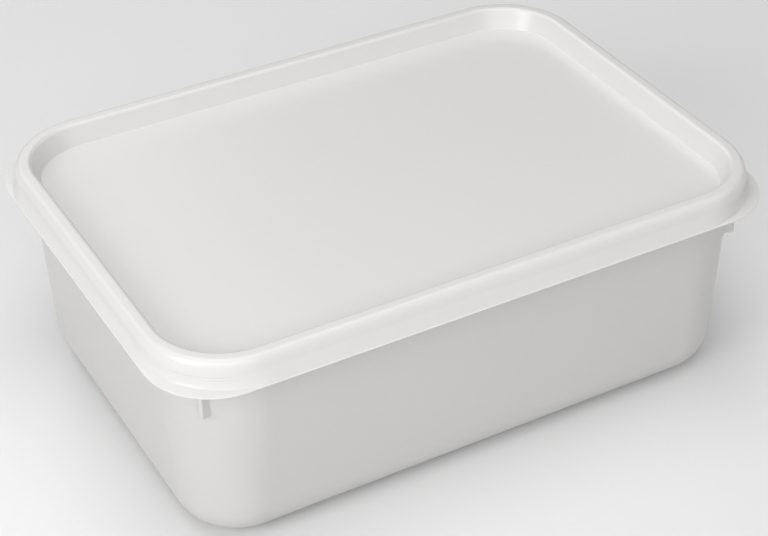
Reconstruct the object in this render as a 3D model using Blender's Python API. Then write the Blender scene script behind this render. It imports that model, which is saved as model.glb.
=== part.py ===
"""Closed ice cream tub: a rectangular tub with rounded corners and a press-on lid.

Metres, +Z up. The origin is under the middle of the tub, X runs along the long sides.
Every piece is a stack of rounded rectangles. One of them is given by its inset, measured
inwards from the lid's lip, by the inset of its corner centres, and by its height, so its
corner radius is the difference of the two insets.
"""

import math

import bpy
import bmesh

# Overall size, over the lid's lip
LENGTH = 0.2250
WIDTH = 0.1622
HEIGHT = 0.0808

# Heights from the floor
LIP_Z = 0.0708            # lower edge of the lid's lip
PANEL_Z = 0.0734          # top of the recessed panel
RIB_Z = 0.0569            # lower end of the corner ribs
WEDGE_Z = 0.0575          # where the wedge beside each rib reaches its depth

# Tub wall
WALL_INSET = 0.0059       # at the height of the lip
WALL_TAPER = 0.0043       # how far the wall draws in from there to the floor
TOP_RADIUS = 0.0281       # corner radius at the height of the lip
BASE_RADIUS = 0.0218      # corner radius at the floor, before the fillet
BASE_FILLET = 0.0148

# Corners: a thin upright rib under the lid, and beside it the long side's wall, which runs on
# straight as a shallow wedge until it meets the rib. Angles are in degrees round the corner,
# from the short side.
RIB_FROM = 45.0
RIB_TO = 47.4
RIB_DEPTH = 0.0034        # how far its lower end stands out; its outer edge is plumb
RISER = 0.6               # degrees that its flank on the short side takes
GUSSET = 3.0              # degrees that its flank on the long side takes
LEDGE = 0.0003            # height that its lower end takes
WEDGE_DEPTH = 0.00115     # how far the wedge stands out where it meets the rib
WEDGE_RISE = 0.0036       # height over which it comes out of the wall

# Lid
SHEET = 0.0010            # thickness of the panel
BEAD_INSET = 0.0020       # outer wall of the bead
BEAD_WIDTH = 0.0062
BEAD_RADIUS = 0.0291      # corner radius of the bead's outer wall
OUTER_ROUND = (0.0026, 0.0042)    # width and height of the bead's outer shoulder
INNER_ROUND = 0.0017      # radius of its inner shoulder
PANEL_DRAFT = 0.0022      # how far the inner wall leans in from the bead to the panel
PANEL_FILLET = 0.0004     # radius between that wall and the panel
FLARE_Z = 0.0765          # where the bead's outer wall starts to flare along the sides
FLARE_BEND = 1.4          # 1 would be a straight slope; more is hollower
CORNER_FLARE_Z = 0.0739   # where it starts to flare at the corners
CORNER_FLARE = 0.0009     # how far it flares there
FLANGE_Z = 0.0714         # foot of the flare
FLANGE_INSET = 0.0003
LIP_RADIUS = 0.0241       # corner radius of the lip, which leaves an ear at each corner
LIP_HEIGHT = 0.0005
RIM_INSET = 0.0024        # hollow under the flange, at its lower edge and at its top
RIM_DRAFT = 0.0006

# Fit
GAP = 0.0004              # between the lid and the tub under it

# Fineness
CORNER_STEPS = 12
ROUND_STEPS = 5           # bead's shoulders
PANEL_STEPS = 2           # panel's fillet
FLARE_STEPS = 5           # foot of the bead's outer wall
BASE_STEPS = 6            # fillet at the floor
SMOOTH_ANGLE = 35.0       # degrees; a sharper edge is shown as a crease

# Finish
TUB_COLOUR = (0.78, 0.78, 0.775, 1.0)
LID_COLOUR = (0.83, 0.83, 0.825, 1.0)
PLASTIC_ROUGHNESS = 0.3

BEAD_CENTRE = BEAD_INSET + BEAD_RADIUS
WALL_CENTRE = WALL_INSET + TOP_RADIUS
BASE_INSET = WALL_INSET + WALL_TAPER
BASE_CENTRE = BASE_INSET + BASE_RADIUS
LID_UNDER_Z = PANEL_Z - SHEET
DIAGONAL = math.sqrt(2.0)


def clear_scene():
    for obj in list(bpy.data.objects):
        bpy.data.objects.remove(obj, do_unlink=True)


def plastic(name, colour):
    material = bpy.data.materials.new(name)
    material.use_nodes = True
    shader = material.node_tree.nodes["Principled BSDF"]
    shader.inputs["Base Color"].default_value = colour
    shader.inputs["Roughness"].default_value = PLASTIC_ROUGHNESS
    shader.inputs["Metallic"].default_value = 0.0
    return material


def even_angles():
    return [90.0 * i / CORNER_STEPS for i in range(CORNER_STEPS + 1)]


def tub_angles():
    """Corner angles, in degrees from the short side, with a close pair at each rib flank."""
    flanks = [RIB_FROM - RISER, RIB_FROM, RIB_TO, RIB_TO + GUSSET]
    step = 90.0 / CORNER_STEPS
    plain = [a for a in even_angles() if not flanks[0] - step / 4 < a < flanks[-1] + step / 4]
    return sorted(plain + flanks)


def ring_points(angles, inset, centre, z, stand_out=None):
    """One rounded rectangle, anticlockwise from +X; stand_out(angle) widens its corners."""
    points = []
    for sign_x, sign_y in ((1, 1), (-1, 1), (-1, -1), (1, -1)):
        run = angles if sign_x * sign_y > 0 else list(reversed(angles))
        for angle in run:
            radius = centre - inset + (stand_out(angle) if stand_out else 0.0)
            x = LENGTH / 2 - centre + radius * math.cos(math.radians(angle))
            y = WIDTH / 2 - centre + radius * math.sin(math.radians(angle))
            points.append((sign_x * x, sign_y * y, z))
    return points


def ring_edges(bm, verts):
    pairs = zip(verts, verts[1:] + verts[:1])
    return [bm.edges.get(pair) or bm.edges.new(pair) for pair in pairs]


def extrude_ring(bm, verts):
    """Extrudes a closed ring and gives the new ring's vertices in the same order."""
    grown = bmesh.ops.extrude_edge_only(bm, edges=ring_edges(bm, verts))["geom"]
    fresh = {item for item in grown if isinstance(item, bmesh.types.BMVert)}
    followers = []
    for vert in verts:
        neighbours = [edge.other_vert(vert) for edge in vert.link_edges]
        followers.append(next(v for v in neighbours if v in fresh))
    return followers


def loft(name, angles, stations, material):
    """Extrudes the first station's ring through the others and closes both ends."""
    bm = bmesh.new()
    verts = [bm.verts.new(point) for point in ring_points(angles, *stations[0])]
    bmesh.ops.edgeloop_fill(bm, edges=ring_edges(bm, verts))
    for station in stations[1:]:
        verts = extrude_ring(bm, verts)
        for vert, point in zip(verts, ring_points(angles, *station)):
            vert.co = point
    bmesh.ops.edgeloop_fill(bm, edges=ring_edges(bm, verts))
    bmesh.ops.recalc_face_normals(bm, faces=bm.faces)
    mesh = bpy.data.meshes.new(name)
    bm.to_mesh(mesh)
    bm.free()
    mesh.shade_smooth()
    mesh.set_sharp_from_angle(angle=math.radians(SMOOTH_ANGLE))
    mesh.materials.append(material)
    obj = bpy.data.objects.new(name, mesh)
    bpy.context.scene.collection.objects.link(obj)
    return obj


def arc(centre, width, height, start, end, steps):
    """Section points (inset, z) along an ellipse; 0 degrees faces outwards and 90 faces up."""
    points = []
    for i in range(steps + 1):
        angle = math.radians(start + (end - start) * i / steps)
        inset = centre[0] - width * math.cos(angle)
        points.append((inset, centre[1] + height * math.sin(angle)))
    return points


def base_stations():
    """The fillet between the flat base and the wall, from the floor up."""
    draft = math.atan2(WALL_TAPER, LIP_Z)
    reach = BASE_FILLET / math.cos(draft) - BASE_FILLET * math.tan(draft)
    stations = []
    for i in range(BASE_STEPS + 1):
        turn = (math.pi / 2 - draft) * i / BASE_STEPS
        inset = BASE_INSET + reach - BASE_FILLET * math.sin(turn)
        stations.append((inset, BASE_CENTRE, BASE_FILLET * (1.0 - math.cos(turn))))
    return stations


def wall_at(z, foot):
    """Inset and corner centre of the plain wall at height z, above its foot station."""
    share = (z - foot[2]) / (LIP_Z - foot[2])
    inset = foot[0] + (WALL_INSET - foot[0]) * share
    centre = foot[1] + (WALL_CENTRE - foot[1]) * share
    return inset, centre


def relief(radius, wedge_share, rib_depth):
    """How far each angle of a corner of that radius stands out of the plain wall."""
    wedge_reach = math.degrees(math.acos(radius / (radius + WEDGE_DEPTH)))

    def stand_out(angle):
        if rib_depth and RIB_FROM <= angle <= RIB_TO:
            return rib_depth
        if not RIB_FROM <= angle <= RIB_TO + wedge_reach:
            return 0.0
        turn = math.radians(min(RIB_TO + wedge_reach - angle, wedge_reach))
        return (radius / math.cos(turn) - radius) * wedge_share

    return stand_out


def make_tub(material):
    stations = base_stations()
    foot = stations[-1]
    wedge_foot = WEDGE_Z - WEDGE_RISE
    levels = (
        (wedge_foot, False),
        (RIB_Z, False),
        (RIB_Z + LEDGE, True),
        (WEDGE_Z, True),
        (LID_UNDER_Z - GAP, True),
    )
    for z, with_rib in levels:
        inset, centre = wall_at(z, foot)
        wedge_share = min((z - wedge_foot) / WEDGE_RISE, 1.0)
        rib_depth = RIB_DEPTH - (z - RIB_Z) * WALL_TAPER / LIP_Z if with_rib else 0.0
        stations.append((inset, centre, z, relief(centre - inset, wedge_share, rib_depth)))
    return loft("tub", tub_angles(), stations, material)


def flare_at(z):
    """Inset and corner centre of the bead's outer wall at height z, below FLARE_Z.

    The corner centre is the one that puts the middle of the corner at the wanted distance from
    the bead's own corner centre.
    """
    side_share = (FLARE_Z - z) / (FLARE_Z - FLANGE_Z)
    corner_share = max((CORNER_FLARE_Z - z) / (CORNER_FLARE_Z - FLANGE_Z), 0.0)
    inset = BEAD_INSET - (BEAD_INSET - FLANGE_INSET) * side_share ** FLARE_BEND
    reach = BEAD_RADIUS + CORNER_FLARE * corner_share ** 2
    centre = (BEAD_CENTRE * DIAGONAL - inset - reach) / (DIAGONAL - 1.0)
    return inset, centre


def lid_stations():
    """From the panel over the solid bead to the lip and back beneath.

    The wall between the panel's fillet and the bead's inner shoulder leans so that it is
    tangent to both.
    """
    inner = BEAD_INSET + BEAD_WIDTH
    foot = inner + PANEL_DRAFT
    fillet_centre = (foot + PANEL_FILLET, PANEL_Z + PANEL_FILLET)
    inner_centre = (inner - INNER_ROUND, HEIGHT - INNER_ROUND)
    outer_centre = (BEAD_INSET + OUTER_ROUND[0], HEIGHT - OUTER_ROUND[1])
    across = fillet_centre[0] - inner_centre[0]
    down = inner_centre[1] - fillet_centre[1]
    turn = math.asin((PANEL_FILLET + INNER_ROUND) / math.hypot(across, down))
    lean = math.degrees(math.atan2(across, down) - turn)

    profile = arc(fillet_centre, PANEL_FILLET, PANEL_FILLET, 270, 360 - lean, PANEL_STEPS)
    profile += arc(inner_centre, INNER_ROUND, INNER_ROUND, 180 - lean, 90, ROUND_STEPS)
    profile += arc(outer_centre, *OUTER_ROUND, 90, 0, ROUND_STEPS)
    stations = [(inset, BEAD_CENTRE, z) for inset, z in profile]
    for i in range(1, FLARE_STEPS + 1):
        z = FLARE_Z - (FLARE_Z - FLANGE_Z) * i / FLARE_STEPS
        stations.append((*flare_at(z), z))
    stations.append((0.0, LIP_RADIUS, LIP_Z + LIP_HEIGHT))
    stations.append((0.0, LIP_RADIUS, LIP_Z))
    stations.append((RIM_INSET, BEAD_CENTRE, LIP_Z))
    stations.append((RIM_INSET + RIM_DRAFT, BEAD_CENTRE, LID_UNDER_Z))
    return stations


def make_lid(material):
    """The lid is built over its own lip plane and then set on the tub."""
    stations = [(inset, centre, z - LIP_Z) for inset, centre, z in lid_stations()]
    lid = loft("lid", even_angles(), stations, material)
    lid.location = (0.0, 0.0, LIP_Z)
    return lid


def main():
    clear_scene()
    closed_tub = bpy.data.objects.new("closed_tub", None)
    bpy.context.scene.collection.objects.link(closed_tub)
    tub = make_tub(plastic("tub_plastic", TUB_COLOUR))
    lid = make_lid(plastic("lid_plastic", LID_COLOUR))
    for piece in (tub, lid):
        piece.parent = closed_tub


main()
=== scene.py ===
import math

import bmesh
import bpy
from mathutils import Matrix, Vector


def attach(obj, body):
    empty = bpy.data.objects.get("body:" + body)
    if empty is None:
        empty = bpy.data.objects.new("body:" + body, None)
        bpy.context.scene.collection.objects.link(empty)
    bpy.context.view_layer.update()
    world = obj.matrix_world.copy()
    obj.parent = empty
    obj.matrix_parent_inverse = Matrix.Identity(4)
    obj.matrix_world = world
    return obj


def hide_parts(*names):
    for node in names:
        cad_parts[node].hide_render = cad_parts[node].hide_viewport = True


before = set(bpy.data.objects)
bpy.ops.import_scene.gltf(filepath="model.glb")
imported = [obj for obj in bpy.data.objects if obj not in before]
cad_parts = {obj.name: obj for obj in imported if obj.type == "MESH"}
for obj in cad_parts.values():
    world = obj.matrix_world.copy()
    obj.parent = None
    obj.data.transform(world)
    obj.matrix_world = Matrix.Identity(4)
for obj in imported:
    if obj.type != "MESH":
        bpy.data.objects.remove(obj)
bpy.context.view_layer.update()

# Metres throughout. Every outline is a rounded rectangle that three numbers give: how far it
# lies inside the lid's lip, how far in its corner centres lie, and its height over the floor.
# A fourth, where there is one, says how far each point of a corner stands out.
pack = {"length": 0.2250, "width": 0.1622, "height": 0.0808, "lipHeight": 0.0708}


def radiusAt(station, i):
    relief = station[3] if len(station) > 3 else None
    return station[1] - station[0] + (relief(i) if relief else 0.0)


def pivotOf(station):
    # the centre of the corner's rounding
    return Vector((pack["length"] / 2 - station[1], pack["width"] / 2 - station[1], station[2]))


def startQuarter(bm, station, arcSteps):
    # a quarter of a rounded rectangle, from the middle out; gives its outer points in order
    made = bmesh.ops.create_grid(bm, x_segments=1, y_segments=1, size=0.5)
    bmesh.ops.translate(bm, vec=(0.5, 0.5, station[2]), verts=made["verts"])
    size = (pack["length"] / 2 - station[0], pack["width"] / 2 - station[0], 1.0)
    bmesh.ops.scale(bm, vec=size, verts=made["verts"])
    corner = max(made["verts"], key=lambda v: v.co.x + v.co.y)
    bmesh.ops.bevel(bm, geom=[corner], offset=station[1] - station[0], offset_type="OFFSET",
                    segments=arcSteps, profile=0.5, affect="VERTICES", material=-1)
    outer = [v for v in bm.verts if v.co.x > 0 or v.co.y > 0]
    return sorted(outer, key=lambda v: math.atan2(v.co.y, v.co.x))


def joining(points):
    # the edges that run from each point to the next one
    return [e for a, b in zip(points, points[1:]) for e in a.link_edges if e.other_vert(a) is b]


def extrudeQuarter(bm, points):
    # the new points lie on the old ones and keep their order
    grown = bmesh.ops.extrude_edge_only(bm, edges=joining(points))["geom"]
    fresh = {item for item in grown if isinstance(item, bmesh.types.BMVert)}
    return [next(n for n in (e.other_vert(v) for e in v.link_edges) if n in fresh)
            for v in points]


def reshapeQuarter(bm, points, before, after):
    # the rounding is scaled about its centre and moved, and the two ends keep up with it
    pivot = pivotOf(before)
    arc = points[1:-1]
    shares = {}
    for i, v in enumerate(arc):
        share = round(radiusAt(after, i) / radiusAt(before, i), 9)
        shares.setdefault(share, []).append(v)
    for share, verts in shares.items():
        bmesh.ops.scale(bm, vec=(share, share, 1), verts=verts, space=Matrix.Translation(-pivot))
    bmesh.ops.translate(bm, vec=pivotOf(after) - pivot, verts=arc)
    for end, mate, axis in ((points[0], arc[0], 0), (points[-1], arc[-1], 1)):
        step = Vector((0.0, 0.0, after[2] - before[2]))
        step[axis] = mate.co[axis] - end.co[axis]
        bmesh.ops.translate(bm, vec=step, verts=[end])


def turnPoints(bm, points, station, turns):
    # shifts single points along the rounding: turns gives degrees for each of them
    for i, degrees in turns.items():
        spin = Matrix.Rotation(math.radians(degrees), 3, "Z")
        bmesh.ops.rotate(bm, cent=pivotOf(station), matrix=spin, verts=[points[i + 1]])


def closeQuarter(bm, points):
    middle = bmesh.ops.create_vert(bm, co=(0, 0, points[0].co.z))["vert"][0]
    ends = [bm.edges.new((middle, points[0])), bm.edges.new((points[-1], middle))]
    bmesh.ops.edgeloop_fill(bm, edges=joining(points) + ends)


def stackOutlines(name, stations, arcSteps, creaseAngle, turns=None):
    # extrudes the first outline through all the others, closes the far end and mirrors it twice
    bm = bmesh.new()
    points = startQuarter(bm, stations[0], arcSteps)
    turnPoints(bm, points, stations[0], turns or {})
    for before, after in zip(stations, stations[1:]):
        points = extrudeQuarter(bm, points)
        reshapeQuarter(bm, points, before, after)
    closeQuarter(bm, points)
    for axis in ("X", "Y"):
        whole = list(bm.verts) + list(bm.edges) + list(bm.faces)
        bmesh.ops.mirror(bm, geom=whole, axis=axis, merge_dist=1e-6)
    bmesh.ops.remove_doubles(bm, verts=bm.verts, dist=1e-7)
    bmesh.ops.recalc_face_normals(bm, faces=bm.faces)
    mesh = bpy.data.meshes.new(name)
    bm.to_mesh(mesh)
    bm.free()
    mesh.shade_smooth()
    mesh.set_sharp_from_angle(angle=math.radians(creaseAngle))
    piece = bpy.data.objects.new(name, mesh)
    bpy.context.scene.collection.objects.link(piece)
    flat = piece.modifiers.new("evenShading", "WEIGHTED_NORMAL")  # keeps the flats flat
    flat.keep_sharp = True
    return piece


def arcPoints(centreInset, centreHeight, radii, start, end, steps):
    # (inset, height) along an arc; 0 degrees faces outwards and 90 faces up
    turns = [math.radians(start + (end - start) * i / steps) for i in range(steps + 1)]
    return [(centreInset - radii[0] * math.cos(t), centreHeight + radii[1] * math.sin(t))
            for t in turns]


tub = {
    "wallInset": 0.0059,         # at the height of the lid's lip
    "wallTaper": 0.0043,         # how far the wall draws in from there to the floor
    "topRadius": 0.0281,
    "baseRadius": 0.0218,        # before the fillet
    "baseFillet": 0.0148,
    # a thin upright rib at each corner; angles are in degrees round it, from the short side
    "ribFrom": 45.0,
    "ribTo": 47.4,
    "ribDepth": 0.0034,          # at its lower end; its outer edge is plumb
    "ribHeight": 0.0569,         # its lower end
    "ribEdge": 0.00020,          # rounding of its edges
    # its lower end: height over it in roundings, and share of the rounding that is passed
    "ribEnd": ((0.3, 0.0), (0.6, 0.7), (1.3, 1.0)),
    "flankTurn": 0.25,           # degrees that its steep flank on the short side takes
    "edgeTurn": 0.4,             # degrees that the rounding of its edges takes
    "gusset": 3.0,               # degrees that its sloping flank on the long side takes
    "gussetEase": 0.3,           # half of those over which that flank meets the wall
    # beside it the wall of the long side runs on straight, as a shallow wedge
    "wedgeDepth": 0.00115,
    "wedgeHeight": 0.0575,       # where it reaches its depth
    "wedgeRise": 0.0036,
    # a faint step all along the long sides, at the same height
    "stepRise": 0.00006,
    "stepBack": 0.00003,
    "stepHeight": 0.0011,
    "stepFrom": 72.0,            # degrees round the corner where it starts, and its fade
    "stepFade": 12.0,
    "topHeight": 0.0720,         # just under the lid
    "arcSteps": 60,
    "ribStep": 29,               # the step of the corner that the rib starts on
    "filletSteps": 14,
    "wedgeLevels": 6,
    "stepLevels": 4,
    # outlines that keep the wall straight: under the wedge, over the step, under the lip
    "levelGaps": (0.012, 0.004, 0.0008),
    "creaseAngle": 50,           # edges sharper than this stay crisp
}


def tubAngles():
    # degrees round the corner from the short side, close together at the rib's flanks
    flank, edge, ease = tub["flankTurn"], tub["edgeTurn"], tub["gussetEase"]
    start, turn, end = tub["ribFrom"], tub["ribTo"], tub["ribTo"] + tub["gusset"]
    rib = [start - 2 * flank, start - flank, start, start + edge, turn - edge, turn,
           turn + edge, (turn + end) / 2, end - ease, end + ease]
    before, after = tub["ribStep"], tub["arcSteps"] - tub["ribStep"] - len(rib) + 1
    angles = [rib[0] * i / before for i in range(before)] + rib
    return angles + [rib[-1] + (90.0 - rib[-1]) * i / after for i in range(1, after + 1)]


def smoothStep(share):
    share = min(max(share, 0.0), 1.0)
    return share * share * (3.0 - 2.0 * share)


def faintStep(height):
    over = height - tub["wedgeHeight"]
    if over <= 0:
        return tub["stepRise"] * max(1.0 + over / tub["wedgeRise"], 0.0) ** 2
    return tub["stepRise"] - tub["stepBack"] * smoothStep(over / tub["stepHeight"])


def wallRelief(angles, radius, height, ribShare):
    # how far each point of the corner stands out: rib, wedge and the faint step
    reach = math.degrees(math.acos(radius / (radius + tub["wedgeDepth"])))
    rise = 1.0 + (height - tub["wedgeHeight"]) / tub["wedgeRise"]
    wedgeShare = min(max(rise, 0.0), 1.0)
    step = faintStep(height)
    plumb = (height - tub["ribHeight"]) * tub["wallTaper"] / pack["lipHeight"]
    inner, edge = tub["ribDepth"] - tub["ribEdge"] - plumb, tub["ribEdge"]
    flank = tub["flankTurn"]

    def relief(i):
        angle = angles[i]
        out = step * smoothStep((angle - tub["stepFrom"]) / tub["stepFade"])
        if tub["ribFrom"] < angle < tub["ribTo"] + reach:
            turn = math.radians(min(tub["ribTo"] + reach - angle, reach))
            out += (radius / math.cos(turn) - radius) * wedgeShare
        if ribShare and tub["ribFrom"] - flank <= angle <= tub["ribTo"]:
            within = min(angle - tub["ribFrom"], tub["ribTo"] - angle)
            rounding = smoothStep((within + flank) / (tub["edgeTurn"] + flank))
            return (inner + edge * rounding) * ribShare
        past = (angle - tub["ribTo"]) / tub["gusset"]
        if ribShare and 0 < past < 1:
            out += (inner - out) * ribShare * (1 - past)
        return out

    return relief


def makeTub():
    draft = math.atan2(tub["wallTaper"], pack["lipHeight"])
    reach = tub["baseFillet"] * (1 - math.sin(draft)) / math.cos(draft)
    footInset = tub["wallInset"] + tub["wallTaper"]
    footCentre = footInset + tub["baseRadius"]
    topCentre = tub["wallInset"] + tub["topRadius"]
    stations = []
    for i in range(tub["filletSteps"] + 1):
        turn = (math.pi / 2 - draft) * i / tub["filletSteps"]
        inset = footInset + reach - tub["baseFillet"] * math.sin(turn)
        stations.append((inset, footCentre, tub["baseFillet"] * (1 - math.cos(turn))))
    foot = stations[-1]

    # levels of the wall over the foot, each with its height and its share of the rib
    start, wedge = tub["wedgeHeight"] - tub["wedgeRise"], tub["wedgeHeight"]
    rib, edge = tub["ribHeight"], tub["ribEdge"]
    below, above, underLip = tub["levelGaps"]
    count, stepCount = tub["wedgeLevels"], tub["stepLevels"]
    levels = [(start - below, 0.0)]
    levels += [(start + (rib - start) * i / count, 0.0) for i in range(count + 1)]
    full = 1.0 - edge / tub["ribDepth"]          # the rib without its rounding
    levels += [(rib + edge * up, full + (1.0 - full) * share) for up, share in tub["ribEnd"]]
    levels += [(wedge + tub["stepHeight"] * i / stepCount, 1.0) for i in range(stepCount + 1)]
    levels += [(wedge + above, 1.0), (pack["lipHeight"] - underLip, 1.0),
               (tub["topHeight"], 1.0)]
    angles = tubAngles()
    for height, ribShare in levels:
        share = (height - foot[2]) / (pack["lipHeight"] - foot[2])
        inset = foot[0] + (tub["wallInset"] - foot[0]) * share
        centre = foot[1] + (topCentre - foot[1]) * share
        relief = wallRelief(angles, centre - inset, height, ribShare)
        stations.append((inset, centre, height, relief))
    turns = {i: angle - 90.0 * i / tub["arcSteps"] for i, angle in enumerate(angles)}
    return stackOutlines("tubBody", stations, tub["arcSteps"], tub["creaseAngle"], turns)


lid = {
    "sheet": 0.0010,             # thickness
    "panelHeight": 0.0734,
    "panelFillet": 0.0004,
    "panelDraft": 0.0022,        # how far the recess narrows from the bead to the panel
    "beadInset": 0.0020,
    "beadWidth": 0.0062,
    "beadRadius": 0.0291,        # corner radius of its outer wall
    "outerRound": (0.0026, 0.0042),      # width and height of its outer shoulder
    "innerRound": 0.0017,
    "flareHeight": 0.0765,       # where its outer wall starts to flare along the sides
    "flareBend": 1.4,            # 1 would be a straight slope; more is hollower
    "cornerFlareHeight": 0.0739, # where it starts to flare at the corners
    "cornerFlare": 0.0009,       # how far it flares there
    "flangeHeight": 0.0714,      # foot of the flare
    "flangeInset": 0.0003,
    "flareOnset": (0.0003, 0.0008),      # two more outlines, this far under its start
    "flareSteps": 8,
    "creaseRound": 0.00020,      # softness of the crease at its foot
    "creaseFoot": 0.00006,       # and how far over the foot it is already at full width
    "flangeShares": (0.05, 0.5), # two outlines on the flange's flat, as shares of its width
    "lipRadius": 0.0241,         # which leaves an ear at each corner
    "lipFace": 0.0005,
    "lipRound": 0.00020,         # of its upper edge; the lower one has a chamfer of half of it
    "lipSteps": 3,
    "grooveHeights": (0.07505, 0.07395),   # two fine lines round each corner of the bead
    "grooveDepth": 0.00012,
    "grooveHalf": 0.00022,
    # across a groove: distance from its middle in half widths, and share of the depth
    "grooveProfile": ((1.0, 0.0), (0.45, 0.75), (0.0, 1.0), (-0.45, 0.75), (-1.0, 0.0)),
    "grooveReach": 34.0,         # degrees to each side of the corner's diagonal
    "grooveFade": 0.6,           # under 1 it stays deep for longer towards its ends
    "rimInset": 0.0024,          # hollow under the flange
    "rimDraft": 0.0006,
    "arcSteps": 60,
    "shoulderSteps": 10,
    "filletSteps": 5,
    "creaseAngle": 40,
}


def grooveRelief(depth):
    def relief(i):
        off = abs(90.0 * i / lid["arcSteps"] - 45.0) / lid["grooveReach"]
        fade = 0.5 + 0.5 * math.cos(math.pi * min(off, 1.0))
        return -depth * fade ** lid["grooveFade"]
    return relief


def flareAt(height):
    # inset and corner centre of the bead's outer wall; the centre is the one that puts the
    # middle of the corner at the wanted distance from the bead's own corner centre
    beadCentre = lid["beadInset"] + lid["beadRadius"]
    foot = lid["flangeHeight"]
    side = max((lid["flareHeight"] - height) / (lid["flareHeight"] - foot), 0.0)
    corner = max((lid["cornerFlareHeight"] - height) / (lid["cornerFlareHeight"] - foot), 0.0)
    inset = lid["beadInset"] - (lid["beadInset"] - lid["flangeInset"]) * side ** lid["flareBend"]
    reach = lid["beadRadius"] + lid["cornerFlare"] * corner ** 2
    diagonal = math.sqrt(2.0)
    return inset, (beadCentre * diagonal - inset - reach) / (diagonal - 1.0)


def lidStations():
    inner = lid["beadInset"] + lid["beadWidth"]
    fillet, shoulder = lid["panelFillet"], lid["innerRound"]
    filletAt = (inner + lid["panelDraft"] + fillet, lid["panelHeight"] + fillet)
    innerAt = (inner - shoulder, pack["height"] - shoulder)
    wide, tall = lid["outerRound"]
    outerAt = (lid["beadInset"] + wide, pack["height"] - tall)
    # the inner wall touches both roundings, and leans by this much
    across = filletAt[0] - innerAt[0]
    down = innerAt[1] - filletAt[1]
    lean = math.degrees(math.atan2(across, down)
                        - math.asin((fillet + shoulder) / math.hypot(across, down)))
    steps = lid["shoulderSteps"]
    beadCentre = lid["beadInset"] + lid["beadRadius"]

    # from the edge of the panel up over the bead, then down its flaring outer wall
    top = arcPoints(*filletAt, (fillet, fillet), 270, 360 - lean, lid["filletSteps"])
    top += arcPoints(*innerAt, (shoulder, shoulder), 180 - lean, 90, steps)
    top += arcPoints(*outerAt, (wide, tall), 90, 0, steps)
    stations = [(inset, beadCentre, height) for inset, height in top]
    high = lid["flareHeight"]
    stations += [(*flareAt(high - drop), high - drop) for drop in lid["flareOnset"]]
    for height in lid["grooveHeights"]:
        for step, share in lid["grooveProfile"]:
            relief = grooveRelief(lid["grooveDepth"] * share) if share else None
            place = height + step * lid["grooveHalf"]
            stations.append((*flareAt(place), place, relief))
    high = lid["cornerFlareHeight"] - lid["grooveHalf"]
    low = lid["flangeHeight"] + lid["creaseRound"]
    for i in range(1, lid["flareSteps"] + 1):
        place = high - (high - low) * i / lid["flareSteps"]
        stations.append((*flareAt(place), place))
    foot = lid["flangeHeight"]
    inset, centre = flareAt(foot)
    stations.append((inset, centre, foot + lid["creaseFoot"]))

    lipFoot, lipCentre, edge = pack["lipHeight"], lid["lipRadius"], lid["lipRound"]
    lipTop = lipFoot + lid["lipFace"]
    # out along the flange's flat, round the lip and in along its lower face
    for share in lid["flangeShares"]:
        stations.append((inset + (edge - inset) * share, centre + (lipCentre - centre) * share,
                         foot + (lipTop - foot) * share))
    rounding = arcPoints(edge, lipTop - edge, (edge, edge), 90, 0, lid["lipSteps"])
    stations += [(inward, lipCentre, height) for inward, height in rounding]
    stations.append((0.0, lipCentre, lipFoot + edge / 2))
    stations.append((edge / 2, lipCentre, lipFoot))
    # the hollow under the flange, up to the underside of the panel
    stations.append((lid["rimInset"], beadCentre, lipFoot))
    stations.append((lid["rimInset"] + lid["rimDraft"], beadCentre,
                     lid["panelHeight"] - lid["sheet"]))
    return stations


def makeLid():
    return stackOutlines("tubLid", lidStations(), lid["arcSteps"], lid["creaseAngle"])


class Wire:
    # a socket that takes part in sums: each sign adds a Math node
    def __init__(self, shader, socket):
        self.shader = shader
        self.socket = socket

    def maths(self, operation, first, second):
        return self.shader.node("ShaderNodeMath", {"operation": operation},
                                {0: first, 1: second})

    def __add__(self, other):
        return self.maths("ADD", self, other)

    def __sub__(self, other):
        return self.maths("SUBTRACT", self, other)

    def __rsub__(self, other):
        return self.maths("SUBTRACT", other, self)

    def __mul__(self, other):
        return self.maths("MULTIPLY", self, other)

    __radd__ = __add__
    __rmul__ = __mul__


class Shader:
    def __init__(self, name):
        self.material = bpy.data.materials.new(name)
        self.material.use_nodes = True
        self.nodes = self.material.node_tree.nodes
        self.links = self.material.node_tree.links
        self.surface = self.nodes["Principled BSDF"]

    def node(self, kind, settings=None, sockets=None, output=0):
        made = self.nodes.new(kind)
        for name, value in (settings or {}).items():
            setattr(made, name, value)
        self.feed(made, sockets or {})
        return Wire(self, made.outputs[output])

    def feed(self, made, sockets):
        for name, value in sockets.items():
            if isinstance(value, Wire):
                self.links.new(value.socket, made.inputs[name])
            else:
                made.inputs[name].default_value = value

    def noise(self, place, scale, detail, stretch=(1, 1, 1)):
        spread = self.node("ShaderNodeMapping", None, {"Vector": place, "Scale": stretch})
        return self.node("ShaderNodeTexNoise", None,
                         {"Vector": spread, "Scale": scale, "Detail": detail})

    def blend(self, share, first, second):
        # sockets 6 and 7 are the two colours, output 2 the mixed one
        return self.node("ShaderNodeMix", {"data_type": "RGBA"},
                         {0: share, 6: first, 7: second}, output=2)


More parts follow.
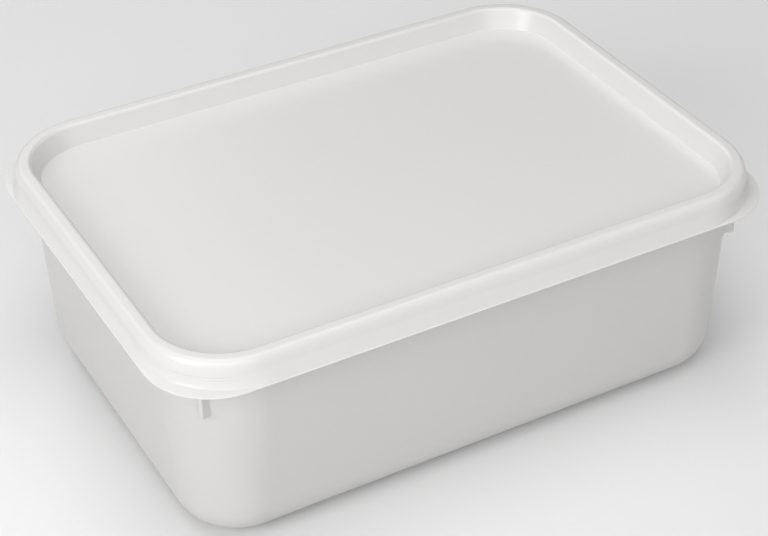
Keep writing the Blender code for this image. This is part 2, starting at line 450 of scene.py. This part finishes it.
plasticLooks = {
    "tubPlastic": {
        "colour": (0.629, 0.621, 0.614, 1),
        "cloud": (0.616, 0.608, 0.601, 1),     # the same plastic where it is a little deeper
        "cloudScale": 22.0,
        "roughness": 0.30,
        "roughnessSpread": 0.08,
        "grainScale": 1500.0,
        "grainHeight": 0.000006,
        "waveScale": 26.0,
        "waveHeight": 0.00006,
        "ior": 1.5,
    },
    "lidPlastic": {
        "colour": (0.745, 0.737, 0.726, 1),
        "cloud": (0.733, 0.725, 0.714, 1),
        "cloudScale": 16.0,
        "roughness": 0.25,
        "roughnessSpread": 0.04,
        "grainScale": 1500.0,
        "grainHeight": 0.000005,
        "waveScale": 18.0,
        "waveHeight": 0.00004,
        "ior": 1.5,
    },
}


def makePlastic(name):
    look = plasticLooks[name]
    shader = Shader(name)
    place = shader.node("ShaderNodeTexCoord", output=3)      # its Object output
    cloud = shader.noise(place, look["cloudScale"], detail=3.0)
    grain = shader.noise(place, look["grainScale"], detail=2.0)
    wave = shader.noise(place, look["waveScale"], detail=1.0, stretch=(1.0, 1.0, 0.6))
    colour = shader.blend(cloud, look["colour"], look["cloud"])
    # both noises swing about a half
    rough = look["roughness"] + (cloud - 0.5) * look["roughnessSpread"]
    rough = rough + (grain - 0.5) * look["roughnessSpread"]
    height = grain * look["grainHeight"] + wave * look["waveHeight"]
    bump = shader.node("ShaderNodeBump", None, {"Strength": 1.0, "Distance": 1.0,
                                                "Height": height})
    shader.feed(shader.surface, {
        "Base Color": colour,
        "Roughness": rough,
        "Normal": bump,
        "IOR": look["ior"],
    })
    return shader.material


tubPiece = makeTub()
lidPiece = makeLid()
print("pieces made:", len(tubPiece.data.polygons), "and", len(lidPiece.data.polygons), "faces")

dressing = ((tubPiece, "tub", "tubPlastic", "tub_plastic"),
            (lidPiece, "lid", "lidPlastic", "lid_plastic"))
for piece, node, look, slot in dressing:
    piece.data.materials.append(makePlastic(look))
    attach(piece, "root")
    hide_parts(node)
print("plastics made and pieces set on the frame")

studio = {
    "floorSize": 6.0,
    "floorColour": (0.82, 0.82, 0.82, 1),
    "floorRoughness": 0.9,
    "floorShine": 0.0,
    "worldStrength": 0.0,        # all light comes from the lamps
    "lampDistance": 1.3,
    # azimuth 0 is in front of a long side and 90 to its right, in degrees; power is in watts
    "lamps": {
        "leftLow": {"azimuth": -70, "elevation": 27, "size": 0.7, "power": 6.80},
        "front": {"azimuth": -28, "elevation": 39, "size": 0.9, "power": 4.40},
        "above": {"azimuth": 0, "elevation": 89, "size": 1.3, "power": 8.50},
        "back": {"azimuth": -165, "elevation": 39, "size": 1.4, "power": 4.80},
        "right": {"azimuth": 90, "elevation": 20, "size": 1.2, "power": 2.10},
        "frontLow": {"azimuth": -10, "elevation": 27, "size": 0.9, "power": 1.90},
        "frontRight": {"azimuth": 40, "elevation": 35, "size": 1.2, "power": 1.40},
        "corner": {"azimuth": -45, "elevation": 12, "size": 0.5, "power": 0.70},
    },
}


def makeFloor():
    bm = bmesh.new()
    bmesh.ops.create_grid(bm, x_segments=1, y_segments=1, size=studio["floorSize"] / 2)
    mesh = bpy.data.meshes.new("floor")
    bm.to_mesh(mesh)
    bm.free()
    floor = bpy.data.objects.new("floor", mesh)
    bpy.context.scene.collection.objects.link(floor)
    shader = Shader("paleFloor")
    shader.feed(shader.surface, {
        "Base Color": studio["floorColour"],
        "Roughness": studio["floorRoughness"],
        "Specular IOR Level": studio["floorShine"],
    })
    mesh.materials.append(shader.material)


def facing(azimuth, elevation):
    turn, rise = math.radians(azimuth), math.radians(elevation)
    return Vector((math.sin(turn) * math.cos(rise), -math.cos(turn) * math.cos(rise),
                   math.sin(rise)))


def makeLamp(name, lamp):
    light = bpy.data.lights.new(name, "AREA")
    light.shape = "DISK"
    light.size = lamp["size"]
    light.energy = lamp["power"]
    lampObject = bpy.data.objects.new(name, light)
    bpy.context.scene.collection.objects.link(lampObject)
    way = facing(lamp["azimuth"], lamp["elevation"])
    lampObject.location = way * studio["lampDistance"]
    lampObject.rotation_mode = "QUATERNION"
    lampObject.rotation_quaternion = way.to_track_quat("Z", "Y")


def makeWorld():
    world = bpy.data.worlds.new("darkRoom")
    world.use_nodes = True
    background = world.node_tree.nodes["Background"]
    background.inputs["Strength"].default_value = studio["worldStrength"]
    bpy.context.scene.world = world


makeFloor()
makeWorld()
for lampName, lampSettings in studio["lamps"].items():
    makeLamp(lampName, lampSettings)
bpy.context.scene.view_settings.view_transform = "Standard"
bpy.context.scene.cycles.use_denoising = True
print("studio made")

viewpoint = {
    "azimuth": -28.497,
    "elevation": 35.333,
    "roll": -1.059,
    "distance": 0.69319,
    "target": (0.00147, 0.0, 0.03427),
    "lens": 91.743,
    "sensorWidth": 36.0,         # lens and sensor in millimetres
    "nearest": 0.01,
}


def makeCamera():
    camera = bpy.data.cameras.new("camera")
    camera.lens = viewpoint["lens"]
    camera.sensor_width = viewpoint["sensorWidth"]
    camera.clip_start = viewpoint["nearest"]
    cameraObject = bpy.data.objects.new("camera", camera)
    bpy.context.scene.collection.objects.link(cameraObject)
    back = facing(viewpoint["azimuth"], viewpoint["elevation"])
    side = Vector((0, 0, 1)).cross(back).normalized()
    upward = back.cross(side)
    turn = Matrix((side, upward, back)).transposed()
    turn = turn @ Matrix.Rotation(math.radians(viewpoint["roll"]), 3, "Z")
    place = Vector(viewpoint["target"]) + back * viewpoint["distance"]
    cameraObject.matrix_world = Matrix.Translation(place) @ turn.to_4x4()
    bpy.context.scene.camera = cameraObject


makeCamera()
